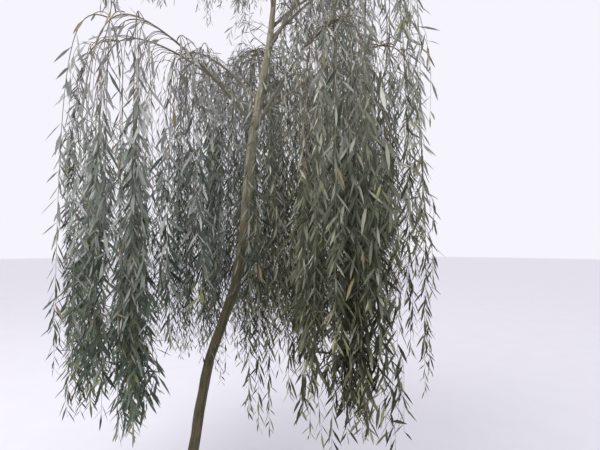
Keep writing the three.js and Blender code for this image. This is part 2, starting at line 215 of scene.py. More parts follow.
class Wire:
    """An output socket of a node in one material, on which arithmetic adds Math nodes."""

    def __init__(self, material, socket=None):
        self.material = material
        self.socket = socket

    def node(self, kind, settings, sockets, output=0):
        """Adds a node: first its settings, then the values or links of its sockets."""
        made = self.material.node_tree.nodes.new(kind)
        for name, value in settings.items():
            setattr(made, name, value)
        for name, value in sockets.items():
            if isinstance(value, Wire):
                self.material.node_tree.links.new(value.socket, made.inputs[name])
            else:
                made.inputs[name].default_value = value
        return Wire(self.material, made.outputs[output] if made.outputs else None)

    def maths(self, operation, first, second):
        return self.node("ShaderNodeMath", {"operation": operation}, {0: first, 1: second})

    def __add__(self, other):
        return self.maths("ADD", self, other)

    __radd__ = __add__

    def __sub__(self, other):
        return self.maths("SUBTRACT", self, other)

    def __rsub__(self, other):
        return self.maths("SUBTRACT", other, self)

    def __mul__(self, other):
        return self.maths("MULTIPLY", self, other)

    __rmul__ = __mul__

    def stretched(self, x, y, z):
        """A place scaled by its own factor along each axis."""
        settings = {"operation": "MULTIPLY"}
        return self.node("ShaderNodeVectorMath", settings, {0: self, 1: (x, y, z)})

    def noise(self, place, scale, detail, roughness):
        """Soft noise from 0 to 1 at a place."""
        sockets = {"Vector": place, "Scale": scale, "Detail": detail, "Roughness": roughness}
        return self.node("ShaderNodeTexNoise", {}, sockets)

    def between(self, value, low, high):
        """0 where value is low, 1 where it is high, and a smooth step between."""
        sockets = {"Value": value, "From Min": low, "From Max": high}
        return self.node("ShaderNodeMapRange", {"interpolation_type": "SMOOTHSTEP"}, sockets)

    def mixed(self, share, first, second):
        """A colour between two: the first where share is 0, the second where it is 1."""
        settings = {"data_type": "RGBA"}
        return self.node("ShaderNodeMix", settings, {0: share, 6: first, 7: second}, output=2)

    def surface(self, sockets):
        """The material's one shader, and its output."""
        shader = self.node("ShaderNodeBsdfPrincipled", {}, sockets)
        self.node("ShaderNodeOutputMaterial", {}, {"Surface": shader})


def colour(red, green, blue):
    """A colour given as a screen shows it, from 0 to 255, in the linear values that a material takes."""
    shown = [part / 255 for part in (red, green, blue)]
    return (*[part / 12.92 if part < 0.04045 else ((part + 0.055) / 1.055) ** 2.4 for part in shown], 1.0)


def new_material(name):
    """An empty material, and the wire that adds its nodes."""
    material = bpy.data.materials.new(name)
    material.use_nodes = True
    material.node_tree.nodes.clear()
    return material, Wire(material)


def bark(name, near, far, change, wound, lenticels, relief):
    """Thin young bark: streaks along the grain, slow drifts of colour, pale warty lenticels across it, fine
    dark cracks, and reddish wounds where the mesh is marked. near and far are the bark's light, deep and
    grey colours at the limb's root and further on, and change is where along it they turn from one to the
    other."""
    material, wire = new_material(name)
    place = wire.node("ShaderNodeAttribute", {"attribute_name": "along_limb"}, {}, output=1)
    scar = wire.node("ShaderNodeAttribute", {"attribute_name": "scar"}, {}, output=2)
    along = wire.node("ShaderNodeSeparateXYZ", {}, {0: place}, output=2)
    streaks = wire.noise(place.stretched(1, 1, 0.07), 260, 4, 0.6)
    drifts = wire.noise(place.stretched(1, 1, 0.35), 26, 3, 0.55)
    bands = wire.noise(place.stretched(1, 1, 0.05), 95, 2, 0.5)
    cracks = wire.between(wire.noise(place.stretched(1, 1, 0.045), 420, 3, 0.7), 0.57, 0.70)
    dashes = wire.between(wire.noise(place.stretched(0.32, 0.32, 1.6), 330, 1, 0.4), 0.66, 0.74)
    dusty = wire.between(wire.noise(place, 95, 5, 0.65), 0.45, 0.75)
    change = wire.between(along, *change)
    light, deep, grey = [wire.mixed(change, first, last) for first, last in zip(near, far)]
    ground = wire.mixed(wire.between(drifts * 0.4 + bands * 0.6, 0.40, 0.60), light, deep)
    ground = wire.mixed(wire.between(streaks, 0.42, 0.72) * 0.55, ground, grey)
    ground = wire.mixed(dusty * 0.35, ground, grey)
    ground = wire.mixed(dashes * lenticels, ground, colour(160, 152, 132))
    ground = wire.mixed(cracks * 0.6, ground, colour(48, 43, 35))
    ground = wire.mixed(scar * wire.between(drifts * 0.4 + streaks * 0.6, 0.30, 0.52), ground, wound)
    heart = wire.between(scar * 0.6 + streaks * 0.6, 0.82, 0.98) * 0.7
    ground = wire.mixed(heart, ground, colour(58, 46, 38))
    height = streaks * 0.35 + dashes * 0.5 - cracks * 0.9 + dusty * 0.2
    bumps = wire.node("ShaderNodeBump", {}, {"Strength": relief, "Distance": 0.0012, "Height": height})
    rough = 0.72 + dusty * 0.16 - dashes * 0.06
    wire.surface({"Base Color": ground, "Roughness": rough, "Specular IOR Level": 0.28, "Normal": bumps})
    return material


trunk_heights = np.linspace(0, TRUNK_TOP, TRUNK_RINGS)
trunk_path = trunk_middle(trunk_heights)
trunk_headings = headings_along(trunk_path)
level = np.clip(1 - trunk_heights / LEVEL_HEIGHT, 0, 1)[:, None]
trunk_headings = unit(trunk_headings * (1 - level) + UP * level)
trunk_across, trunk_beside = frames_along(trunk_headings, BACK)
trunk_turn = 2 * math.pi * np.arange(TRUNK_SIDES) / TRUNK_SIDES
grid_height = np.broadcast_to(trunk_heights[:, None], (TRUNK_RINGS, TRUNK_SIDES))
grid_turn = np.broadcast_to(trunk_turn, (TRUNK_RINGS, TRUNK_SIDES))
bare_radius = trunk_at(grid_height, 3)
lobes = 1 + FLARE_LOBE_DEPTH * np.cos(FLARE_LOBES * grid_turn)
thickness = bare_radius + FLARE_RADIUS * lobes * np.exp(-grid_height / FLARE_HEIGHT)
thickness = thickness + np.clip(thickness / RELIEF_RADIUS, *RELIEF_SHARES) * (
    RIDGE_DEPTH * waves(grid_turn, grid_height, seed=3, most_ridges=16, wavelength=0.5)
    + LUMP_DEPTH * waves(grid_turn, grid_height, seed=4, most_ridges=3, wavelength=0.16)
)
trunk_scars = np.zeros_like(thickness)
for scar_height, scar_turn, scar_size, scar_depth in SCARS:
    around = turned_from(grid_turn, math.radians(scar_turn)) * bare_radius
    apart = np.hypot(around, (grid_height - scar_height) * SCAR_ALONG) / scar_size
    hollow = SCAR_HOLLOW_DEPTH * np.exp(-((apart / SCAR_HOLLOW) ** 2))
    thickness = thickness + scar_depth * (np.exp(-(apart**2)) - hollow)
    trunk_scars = np.maximum(trunk_scars, np.exp(-((apart / SCAR_STAIN) ** 2)))
wound = WOUND_STAIN * np.exp(-(((grid_height - WOUND_HEIGHT) / WOUND_LENGTH) ** 2))
trunk_scars = np.maximum(trunk_scars, wound)

# The trunk's bark turns from dark olive low down to light grey higher up. This is partly the older bark's own
# darker colour and partly painted light, for the bright hazy light round the upper trunk.
TRUNK_BARK = bark(
    "trunk_bark", near=(colour(100, 94, 66), colour(62, 58, 40), colour(86, 81, 62)),
    far=(colour(178, 172, 148), colour(140, 134, 108), colour(164, 160, 146)), change=(1.3, 1.95),
    wound=colour(112, 86, 64), lenticels=0.55, relief=1.0,
)

# The boughs' collars swell out of the trunk, so its mesh is finished once the boughs' places are known.

# Boughs
# Tapering limbs of smooth yellowish-brown young bark, which leave the trunk in five tiers, climb steeply,
# and bend over to nearly level at their tips, where they enter their mass of foliage. Each has a swollen
# collar where it grows out of the trunk.
CROWN_X = 0.48  # the crown's middle is a vertical line beside the upper trunk
CROWN_RADIUS = 1.15
BOUGH_SHOULDER = 0.6
SHOULDER_RISE = 0.82
BOUGH_TIP_RADIUS = 0.004
COLLAR_SWELL = 0.4
COLLAR_LENGTH = 0.045
BOUGH_SIDES = 20
BOUGH_RINGS = 90
BOUGH_UNEVEN = 0.05  # how far its thickness wanders, as a share of it
COLLAR_STAIN = 0.5
COLLAR_STAIN_LENGTH = 0.03
COLLAR_PLACE = 1.3  # how many of the trunk's radii from its middle a bough comes out of the bark
BULGE_ALONG = 0.55  # heights count for less in the trunk's bulge round a bough, so it is longer than wide
BULGE_SIZE = 1.5  # how many of the bough's radii it spreads
BULGE_HEIGHT = 0.32  # and how far it stands out
# A mass lies between two bowl-shaped surfaces round the crown's middle, each (first, last, fall): the height
# over the middle for its tier's first and last mass, and how far it falls at CROWN_RADIUS.
GROUND_GAP = (0.56, 0.56, 0.0)
LEFT_CEILING = (3.06, 2.76, 0.12)
LEFT_FLOOR = (3.10, 2.76, 0.12)
RIGHT_CEILING = (2.96, 2.96, 0.28)
MID_FLOOR = (1.00, 1.00, 0.0)
TOP_FLOOR = (3.52, 3.52, -0.35)
SKY = (4.10, 4.10, 0.0)
# Every tier's boughs are step degrees apart from azimuth first. A pair in round brackets runs from the first
# to the last of something, and a list in square ones has a value for each bough. tails says how many loose
# tails of fine shoots a mass hangs in, apart from the shoots that its solid has too, within between which
# distances from the crown's middle, and spurs how many short leafy shoots grow straight out of its bough, up
# to the share of it that spurs_end says. hang is how far the tails hang past the floor of the mass, among
# the tops of the next one, and below is how far they may. USUAL holds where a tier says nothing else.
USUAL = {
    "count": 4, "step": 44.3, "half_width": 10.7, "arch": 0.25, "leave": (0.02, 0.16), "spurs_end": 0.95,
    "below": 0.03, "hang": 0.03,
}
TIERS = [
    {
        "name": "low_left", "first": 102.5, "step": 40, "half_width": 18.7, "start": (2.38, 2.15),
        "rise": (0.52, 0.37), "reach": 0.70, "radius": 0.0105, "inner": (0.54, 0.74), "outer": 1.13,
        "floor": GROUND_GAP, "ceiling": LEFT_CEILING, "ragged": 0.42, "shoots": 5, "blade": 0.32, "seed": 11,
        "tails": [26, 18, 2, 1], "within": [(0.20, 1.13), (0.30, 1.13), (0.60, 1.13), (0.70, 1.13)],
        "spurs": [22, 24, 12, 12], "spurs_end": [0.95, 0.95, 0.52, 0.46],
    },
    {
        "name": "low_right", "first": 298, "start": (2.12, 2.33), "rise": (0.360, 0.330), "reach": 0.56,
        "radius": 0.010, "inner": (0.42, 0.36), "outer": 0.93, "floor": GROUND_GAP,
        "ceiling": RIGHT_CEILING, "ragged": 0.38, "shoots": 5, "blade": 0.30, "seed": 23,
        "tails": [5, 4, 10, 13], "within": [(0.42, 0.90), (0.40, 0.74), (0.28, 0.86), (0.20, 0.93)],
        "spurs": [20, 16, 17, 18],
    },
    {
        "name": "mid_right", "count": 3, "first": 320.2, "start": (2.60, 2.74), "rise": (0.440, 0.410),
        "reach": 0.52, "radius": 0.0095, "inner": (0.38, 0.34), "outer": 0.93, "floor": MID_FLOOR,
        "ceiling": TOP_FLOOR, "ragged": 0.56, "shoots": 4, "blade": 0.30, "seed": 37, "tails": [4, 5, 9],
        "within": [(0.38, 0.74), (0.30, 0.74), (0.22, 0.93)], "spurs": [12, 11, 13],
    },
    {
        "name": "high_left", "first": 112, "step": 49.5, "half_width": 23.6, "start": (3.03, 2.85),
        "rise": (0.36, 0.35), "reach": 0.26, "radius": 0.0075, "inner": (0.18, 0.18), "outer": 0.90,
        "floor": LEFT_FLOOR, "ceiling": TOP_FLOOR, "ragged": 0.16, "arch": 0.2, "leave": (0.02, 0.3),
        "shoots": 4, "blade": 0.24, "seed": 41, "tails": 12, "within": (0.12, 0.90), "spurs": 8,
        "below": [0.02, 0.02, 0.06, 0.02], "hang": -0.12,
    },
    {
        "name": "high_right", "first": 298, "start": (2.96, 3.09), "rise": (0.35, 0.31), "reach": 0.29,
        "radius": 0.007, "inner": (0.30, 0.30), "outer": 0.86, "floor": RIGHT_CEILING,
        "ceiling": TOP_FLOOR, "ragged": 0.25, "arch": 0.2, "leave": (0.02, 0.3), "shoots": 4, "blade": 0.25,
        "seed": 53, "tails": [5, 4, 6, 9], "spurs": 10, "below": 0.25, "hang": 0.25,
        "within": [(0.12, 0.86), (0.12, 0.78), (0.12, 0.80), (0.12, 0.86)],
    },
]
LEADER = {
    "name": "leader", "share": 0, "azimuth": 200, "half_width": 180, "inner": 0.11, "outer": 0.50,
    "floor": TOP_FLOOR, "ceiling": SKY, "ragged": 0.11, "arch": 0.2, "leave": (0.02, 0.25), "shoots": 9,
    "blade": 0.20, "seed": 79, "tails": 34, "within": (0.03, 0.50), "spurs": 22, "spurs_end": 0.98,
    "below": 0.22, "hang": 0.22,
}


def mix(first, last, share):
    return first + (last - first) * share


def around_crown(distance, azimuth, height):
    """A point given by its distance from the crown's middle, its azimuth and its height."""
    a = math.radians(azimuth)
    return np.array((CROWN_X + distance * math.cos(a), distance * math.sin(a), height))


def all_boughs():
    """The boughs of all tiers, each with its own sizes worked out from its tier's."""
    made = []
    for tier in [USUAL | tier for tier in TIERS]:
        for i in range(tier["count"]):
            bough = {size: value[i] if isinstance(value, list) else value for size, value in tier.items()}
            bough["name"] = f"{tier['name']}_{i + 1}"
            bough["share"] = i / (tier["count"] - 1)
            for size in ("inner", "start", "rise"):
                bough[size] = mix(*tier[size], bough["share"])
            bough["azimuth"] = tier["first"] + i * tier["step"]
            bough["seed"] = 100 * tier["seed"] + i
            made.append(bough)
    return made


def bough_path(bough, shares):
    """A bough's middle line: out of the trunk, up, and nearly level at its tip."""
    root = trunk_middle(bough["start"])
    tip = around_crown(bough["reach"], bough["azimuth"], bough["start"] + bough["rise"])
    shoulder = mix(root, tip, BOUGH_SHOULDER)
    shoulder[2] = bough["start"] + SHOULDER_RISE * bough["rise"]
    t = np.asarray(shares)[:, None]
    return root * (1 - t) ** 2 + shoulder * 2 * t * (1 - t) + tip * t * t


YOUNG_BARK = bark(
    "bough_bark", near=(colour(142, 138, 122), colour(110, 106, 90), colour(134, 131, 122)),
    far=(colour(130, 125, 108), colour(102, 98, 82), colour(122, 118, 106)), change=(0.05, 0.5),
    wound=colour(112, 86, 70), lenticels=0.7, relief=0.55,
)

boughs = all_boughs()
for bough in boughs:
    path = bough_path(bough, np.linspace(0, 1, BOUGH_RINGS))
    away = np.linalg.norm(path - path[0], axis=1)
    headings = headings_along(path)
    across, beside = frames_along(headings, BACK)
    turn = 2 * math.pi * np.arange(BOUGH_SIDES) / BOUGH_SIDES
    middle_radius = mix(bough["radius"], BOUGH_TIP_RADIUS, away / away[-1])
    middle_radius = middle_radius * (1 + COLLAR_SWELL * np.exp(-away / COLLAR_LENGTH))
    uneven = waves(turn[None], away[:, None], bough["seed"], most_ridges=5, wavelength=0.12)
    radius = middle_radius[:, None] * (1 + BOUGH_UNEVEN * uneven)
    points, sides, ends = tube(path, across, beside, radius)
    piece = mesh_piece(f"bark_of_bough_{bough['name']}", points, [(sides, 0), (ends, 0)], [YOUNG_BARK])
    mark(piece, "along_limb", straightened(away, turn[None], radius))
    stain = COLLAR_STAIN * np.exp(-((away / COLLAR_STAIN_LENGTH) ** 2))
    mark(piece, "scar", np.repeat(stain, BOUGH_SIDES))
    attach(piece, "root")
    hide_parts(f"bough_{bough['name']}")
    # where the bough comes out of the trunk's bark
    surface = np.searchsorted(away, trunk_at(bough["start"], 3) * COLLAR_PLACE)
    heading = headings[surface]
    collar_turn = math.atan2(np.dot(heading, trunk_beside[0]), np.dot(heading, trunk_across[0]))
    around = turned_from(grid_turn, collar_turn) * bare_radius
    along = (grid_height - path[surface, 2]) * BULGE_ALONG
    apart = np.hypot(around, along) / (BULGE_SIZE * bough["radius"])
    thickness = thickness + BULGE_HEIGHT * bough["radius"] * np.exp(-(apart**2))

points, sides, ends = tube(trunk_path, trunk_across, trunk_beside, thickness)
trunk = mesh_piece("bark_of_trunk", points, [(sides, 0), (ends, 0)], [TRUNK_BARK])
mark(trunk, "along_limb", straightened(trunk_heights, trunk_turn[None], thickness))
mark(trunk, "scar", trunk_scars.ravel())
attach(trunk, "root")
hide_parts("trunk")

# Hanging shoots
# Long thin willow shoots of the year's growth, yellow-brown in the sun and reddish on their shaded side,
# which leave the boughs' tips, arch over and hang straight down. The rule that places a mass's first shoots
# is the one its solid follows, and finer shoots and short side shoots fill the same space.
STEM_RADIUS = 0.004
SHOOT_RADIUS = 0.003
FINE_RADIUS = 0.0021
SPUR_RADIUS = 0.0016
SIDE_RADIUS = 0.0013
TIP_RADIUS = 0.0007
SHOOT_POINTS = 24
SPUR_POINTS = 14
SIDE_POINTS = 8
ROOT_PLACES = 14  # on each limb that finer shoots grow from
SHOOT_SIDES = 4
FINE_SIDES = 3
HEADWAY = 0.8  # how far a shoot is drawn along its first heading, as a share of its way out
LEAST_HEADWAY = 0.04
SHOULDER_DROP = 0.12  # how far down its fall the shoulder of its arch is
STEM_SHARE = 0.93  # how far out the stem hangs, as a share of its mass's outer distance
FOOT_JITTER = 0.4  # of the first shoots' feet, as a share of the space between them
FOOT_ASIDE = (0.25, 0.78)  # and how far to the side they hang, as shares of the mass's half width
ROUND_ANGLE = 137.5  # or, round the leader, from one to the next
CLEARANCE = 0.006  # between a shoot and the other limbs, and between the first shoots and their mass's edge
OUTER_PLAY = 0.06  # how far past their mass's outer distance the first shoots may go
FINE_OUTER_PLAY = 0.045  # and the finer ones
LEAF_LENGTH = 0.100
STRAY = 0.035  # how far fine shoots may go past the side of their mass's space, into the next one's
LEAF_STRAY = 0.060  # and how far the tips of their leaves may
SWAY = 0.012  # how far a hanging shoot strays from a straight line, for each metre of its length
TRUNK_SPACE = 0.031  # the radius round the trunk's middle that shoots and leaves keep clear of
IN_LIMB = 4  # the first points of a shoot may be inside the limb that it grows out of
FIRST_LEAVES = (0.8, 1.05)  # how large the first shoots' leaves are, against LEAF_LENGTH
DOWN = np.array((0.0, 0.0, -1.0))


def seeded(seed):
    """The seeded run of numbers from 0 to 1 that the solids are made with."""
    word = 0xFFFFFFFF
    state = seed & word
    while True:
        state = (state + 0x6D2B79F5) & word
        t = ((state ^ (state >> 15)) * (state | 1)) & word
        t ^= (t + (((t ^ (t >> 7)) * (t | 61)) & word)) & word
        yield ((t ^ (t >> 14)) & word) / 4294967296


def bowl(surface, share, distance):
    """The height of a bowl-shaped surface at a distance from the crown's middle."""
    first, last, fall = surface
    return mix(first, last, share) - fall * (distance / CROWN_RADIUS) ** 2


def in_space(mass, points, margin):
    """Whether each point lies in a mass's own space, with a margin to each side of it. Where the margin is
    negative, what hangs may also go past the floor by the mass's below."""
    dx = points[:, 0] - CROWN_X
    dy = points[:, 1]
    distance = np.hypot(dx, dy)
    turn = turned_from(math.radians(mass["azimuth"]), np.arctan2(dy, dx))
    aside = math.radians(mass["half_width"]) - np.abs(turn)
    inside = distance * np.sin(np.minimum(aside, math.pi / 2)) > margin
    if mass["half_width"] == 180:
        inside[:] = True
    inside &= distance < mass["outer"] + (FINE_OUTER_PLAY if margin < 0 else OUTER_PLAY)
    below = mass["below"] if margin < 0 else -margin
    inside &= points[:, 2] > bowl(mass["floor"], mass["share"], distance) - below
    return inside & (points[:, 2] < bowl(mass["ceiling"], mass["share"], distance) - margin)


def limb_segments(path, radius):
    """A limb as straight stretches: their starts, their ends and the limb's radius over each."""
    return path[:-1], path[1:], np.full(len(path) - 1, radius)


LIMBS = {"trunk": limb_segments(trunk_middle(np.linspace(0, TRUNK_TOP, 40)), TRUNK_SPACE)}
for bough in boughs:
    LIMBS[bough["name"]] = limb_segments(bough_path(bough, np.linspace(0, 1, 9)), bough["radius"])


def clear_of_limbs(points, skipped, margin):
    """Whether each point is clear of the trunk and boughs, apart from the skipped one."""
    kept = [limb for name, limb in LIMBS.items() if name != skipped]
    starts, ends, radii = (np.concatenate(parts) for parts in zip(*kept))
    chords = ends - starts
    clear = np.ones(len(points), bool)
    for start, chord, radius in zip(starts, chords, radii):
        share = np.clip((points - start) @ chord / np.dot(chord, chord), 0, 1)
        clear &= np.linalg.norm(points - start - share[:, None] * chord, axis=1) > radius + margin
    return clear


def fits(mass, points, margin):
    """Whether all of a shoot lies in its mass's space, and clear of the limbs that it doesn't grow from."""
    inside = in_space(mass, points, margin)
    return inside.all() and clear_of_limbs(points, mass["limb"], CLEARANCE).all()


def weeping(start, heading, foot, arch, count):
    """A shoot that leaves along its heading, arches over and hangs to its foot. arch is how much of its way
    out it still climbs before it falls."""
    away = math.hypot(foot[0] - start[0], foot[1] - start[1])
    out = start + heading * (HEADWAY * away + LEAST_HEADWAY)
    over = np.array((foot[0], foot[1], mix(start[2], foot[2], SHOULDER_DROP) + arch * away))
    t = np.linspace(0, 1, count)[:, None]
    inner = start * (1 - t) ** 3 + out * 3 * t * (1 - t) ** 2
    return inner + over * 3 * t * t * (1 - t) + foot * t**3


def lengths_along(path):
    """How far along a path each of its points is."""
    steps = np.linalg.norm(np.diff(path, axis=0), axis=1)
    return np.concatenate([[0], np.cumsum(steps)])


def along_path(path, share):
    """The point of a path at a share of its length, and which way it runs there."""
    lengths = lengths_along(path)
    target = share * lengths[-1]
    i = min(int(np.searchsorted(lengths, target, side="right")) - 1, len(path) - 2)
    heading = unit(path[i + 1] - path[i])
    return path[i] + heading * (target - lengths[i]), heading


def swaying(path, random):
    """The same shoot, straying a little from side to side the further down it hangs."""
    lengths = lengths_along(path)
    share = lengths / lengths[-1]
    stray = np.zeros_like(path)
    for axis in (0, 1):
        for bends in (0.9, 2.3):
            phase = random.uniform(0, 2 * math.pi)
            size = SWAY * lengths[-1] * random.uniform(0.4, 1.2)
            bent = np.sin(bends * math.pi * share + phase) - math.sin(phase)
            stray[:, axis] += size * share**1.5 * bent
    return path + stray


def shoot(path, radius, random, grows_from, leaf):
    """One shoot: its line, the radius at its root, a number that the shades of its bark and leaves follow,
    what it grows from, how large its leaves are, against LEAF_LENGTH, and whether it is a tail by itself, one
    of a fuller tail in front, or of any tail in front."""
    return {
        "path": path, "radius": radius, "shade": random.random(), "from": grows_from, "leaf": leaf,
        "lone": False, "in_front": False, "soon_leafy": False,
    }


def first_shoots(mass, random):
    """The stem that carries on from the limb's tip, and the side shoots that the mass's solid has."""
    numbers = seeded(mass["seed"])

    def foot_at(distance, azimuth):
        lowest = bowl(mass["floor"], mass["share"], distance) + 2 * CLEARANCE + mass["blade"]
        return around_crown(distance, azimuth, lowest + mass["ragged"] * next(numbers))

    def lengthened(path):
        """The solid's last blade hangs on below the foot, so the shoot and its true leaves go on too."""
        further = DOWN * (mass["blade"] - LEAF_LENGTH) * np.linspace(0, 1, len(path))[:, None] ** 2
        return path + further

    foot = foot_at(STEM_SHARE * mass["outer"], mass["azimuth"])
    stem = weeping(mass["start_point"], mass["heading"], foot, mass["arch"], SHOOT_POINTS)
    next(numbers)
    made = [shoot(lengthened(stem), STEM_RADIUS, random, "limb", 1.0)]
    for i in range(mass["shoots"]):
        place = (i + 0.5 + FOOT_JITTER * (next(numbers) - 0.5)) / mass["shoots"]
        aside = mass["half_width"] * mix(*FOOT_ASIDE, next(numbers)) * (1 if i % 2 else -1)
        turn = aside if mass["half_width"] < 180 else ROUND_ANGLE * (i + 1)
        foot = foot_at(mix(mass["inner"], mass["outer"], place), mass["azimuth"] + turn)
        root, _ = along_path(stem, mix(*mass["leave"], (i + next(numbers)) / mass["shoots"]))
        next(numbers)
        side = unit(np.array((foot[0] - root[0], foot[1] - root[1], 0.0)))
        path = weeping(root, unit(side + UP * 2 * mass["arch"]), foot, mass["arch"], SHOOT_POINTS)
        if fits(mass, path[IN_LIMB:], CLEARANCE):
            leaf = random.uniform(*FIRST_LEAVES)
            made.append(shoot(lengthened(path), SHOOT_RADIUS, random, "stem", leaf))
    return made


# The tails in front hang apart, with the sky between them. Each: its mass, its distance from the crown's
# middle, its azimuth, how many shoots it has, how far they spread, and the height of its end.
FRONT_TAILS = [
    ("low_left_3", 0.960, 191.5, 3, 0.016, 0.64),
    ("low_left_3", 0.765, 194.0, 3, 0.016, 0.72),
    ("low_left_3", 0.800, 176.0, 2, 0.022, 0.95),
    ("low_left_3", 1.100, 187.7, 1, 0.003, 1.84),
    ("low_left_4", 0.915, 210.5, 4, 0.014, 0.78),
    ("low_left_4", 0.790, 219.5, 4, 0.013, 0.68),
    ("low_left_4", 0.660, 230.0, 2, 0.018, 1.00),
    ("low_left_4", 0.560, 239.0, 2, 0.015, 1.15),
    ("low_right_1", 0.870, 304.5, 5, 0.026, 0.72),
    ("low_right_1", 0.810, 299.5, 5, 0.030, 0.80),
    ("low_right_1", 0.650, 292.0, 4, 0.030, 0.84),
    ("low_right_2", 0.900, 333.0, 2, 0.015, 2.00),
    ("mid_right_1", 0.870, 320.0, 2, 0.020, 2.25),
    ("high_left_3", 0.900, 193.0, 3, 0.012, 2.84),
]
OPEN_SKY = (150, 162)  # between these azimuths the sky shows past the front tails on the left
RIM = (1.00, 1.32)  # on the right the low tails end higher from here outwards
RIM_ENDS = (0.85, 2.00)
RIM_VARIES = (-0.2, 0.2)
TAIL_SHOOTS = (2, 6)  # from two to five
TAIL_SPREAD = (0.015, 0.045)
# For the fine shoots of the tails in front, and for the others: how far before the place that it hangs over
# one leaves its limb, and how much is added to the size of its leaves.
LEAD = {True: (0.12, 0.30), False: (0.04, 0.22)}
LARGER = {True: 0.36, False: 0.0}
FINE_LEAVES = (0.62, 1.0)
SHORT_SHARE = 0.15  # of the fine shoots end higher than their tail
SHORT_BY = (0.2, 0.9)
NEAREST_ROOTS = 4
STEEP = 0.5  # where a limb falls faster than this, fewer shoots grow out of it
HANGING = -0.6  # and where its heading is lower than this, they leave along it
LEAST_DROP = 0.12
TAIL_SHADES = 0.1  # how far the shades of one tail's shoots are apart


def tails_of(mass, random):
    """The tails that a mass hangs in, spread evenly over the ground that it covers: distance from the crown's
    middle, azimuth, how many shoots, how far they spread, the height of the tail's end, how ragged it is, and
    whether it is one of those in front, whose leaves are larger and whose shoots arch further out."""
    made = [tail[1:] + (0.5 * mass["ragged"], True) for tail in FRONT_TAILS if tail[0] == mass["name"]]
    for i in range(mass["tails"]):
        share = (i + random.random()) / mass["tails"]
        nearest, furthest = mass["within"]
        distance = math.sqrt(mix(nearest**2, furthest**2, share))
        azimuth = mass["azimuth"] + mass["half_width"] * random.uniform(-1, 1)
        lowest = bowl(mass["floor"], mass["share"], distance) + LEAF_LENGTH - mass["hang"]
        end = lowest + (mass["ragged"] + mass["hang"]) * random.random() ** 1.5
        if mass["name"].startswith(("low_right", "mid_right")):
            x = around_crown(distance, azimuth, end)[0]
            end = max(end, np.interp(x, RIM, RIM_ENDS) + random.uniform(*RIM_VARIES))
        count = int(random.integers(*TAIL_SHOOTS))
        spread = random.uniform(*TAIL_SPREAD)
        if not OPEN_SKY[0] < azimuth < OPEN_SKY[1]:
            made.append((distance, azimuth, count, spread, end, 0.75 * mass["ragged"], False))
    return made


def finer_shoots(mass, hosts, random):
    """Finer shoots in loose tails: those of one tail leave the limb's outer part, the stem or a side shoot
    close together, a little before the place that they hang over, and end at different heights."""
    roots = []
    for host, first, last in hosts:
        for share in np.linspace(first, last, ROOT_PLACES):
            roots.append(np.concatenate(along_path(host, share)))
    roots = np.array(roots)
    made = []
    for distance, azimuth, count, spread, end, ragged, in_front in tails_of(mass, random):
        lead = random.uniform(*LEAD[in_front])
        shade = random.random()
        for _ in range(count):
            foot = around_crown(distance, azimuth, end)
            foot[:2] += random.normal(0, spread, 2)
            foot[2] += ragged * random.random() ** 2
            if random.random() < SHORT_SHARE:
                foot[2] += random.uniform(*SHORT_BY)
            flat = np.hypot(roots[:, 0] - foot[0], roots[:, 1] - foot[1])
            falling = np.clip(-roots[:, 5] - STEEP, 0, None)
            chosen = np.argsort(np.abs(flat - lead) + falling)[random.integers(0, NEAREST_ROOTS)]
            if mass["name"] == "leader":
                chosen = random.integers(0, 2 * ROOT_PLACES)
            root, heading = roots[chosen, :3], roots[chosen, 3:]
            foot[2] = min(foot[2], root[2] - LEAST_DROP)
            side = unit(np.array((foot[0] - root[0], foot[1] - root[1], 1e-4)))
            leaving = unit(0.7 * heading * (1, 1, 0.5) + side + UP * random.uniform(0.2, 0.7))
            if heading[2] < HANGING:
                leaving = unit(heading + 0.5 * side)
            path = weeping(root, leaving, foot, mass["arch"], SHOOT_POINTS)
            path = swaying(path, random) if count > 1 else path
            if fits(mass, path[IN_LIMB:], -STRAY):
                leaf = random.uniform(*FINE_LEAVES) + LARGER[in_front]
                grown = shoot(path, FINE_RADIUS, random, "stem", leaf)
                grown["shade"] = (shade + TAIL_SHADES * grown["shade"]) % 1
                grown["lone"] = count == 1
                grown["in_front"] = in_front and count > 2
                grown["soon_leafy"] = in_front
                made.append(grown)
    return made


SPUR_FROM = 0.08  # of the way along the bough
SPUR_REACH = (0.06, 0.20)
SPUR_DROP = (0.05, 0.40)
SPUR_ARCH = 0.3
SPUR_LEAVES = (0.6, 0.9)


def spurs_of(mass, random):
    """Short shoots straight out of the bough, all along it, which arch over and hang beside it."""
    made = []
    for i in range(mass["spurs"]):
        share = mix(SPUR_FROM, mass["spurs_end"], (i + random.random()) / mass["spurs"])
        root, heading = along_path(mass["host"], share)
        across = unit(np.cross(heading, UP)) * (1 if i % 2 else -1)
        side = unit(across * random.uniform(0.4, 1.0) + heading * (1, 1, 0) * random.uniform(-0.3, 0.8))
        foot = root + side * random.uniform(*SPUR_REACH) + DOWN * random.uniform(*SPUR_DROP)
        leaving = unit(side + UP * random.uniform(0.3, 0.9))
        path = weeping(root, leaving, foot, SPUR_ARCH, SPUR_POINTS)
        if fits(mass, path[IN_LIMB - 1:], -2 * STRAY):
            made.append(shoot(path, SPUR_RADIUS, random, "shoot", random.uniform(*SPUR_LEAVES)))
    return made


SIDE_RATE = {True: 7.5, False: 1.6}  # for each metre of a shoot in the fuller tails in front, and of another
SIDE_DROP = (0.10, 0.32)
SIDE_REACH = (0.03, 0.10)
SIDE_ARCH = 0.05
SIDE_ALONG = 0.05  # how far a side shoot's foot is carried along the long one's heading
SIDE_LEAVES = 0.8  # how large its leaves are, against the long one's


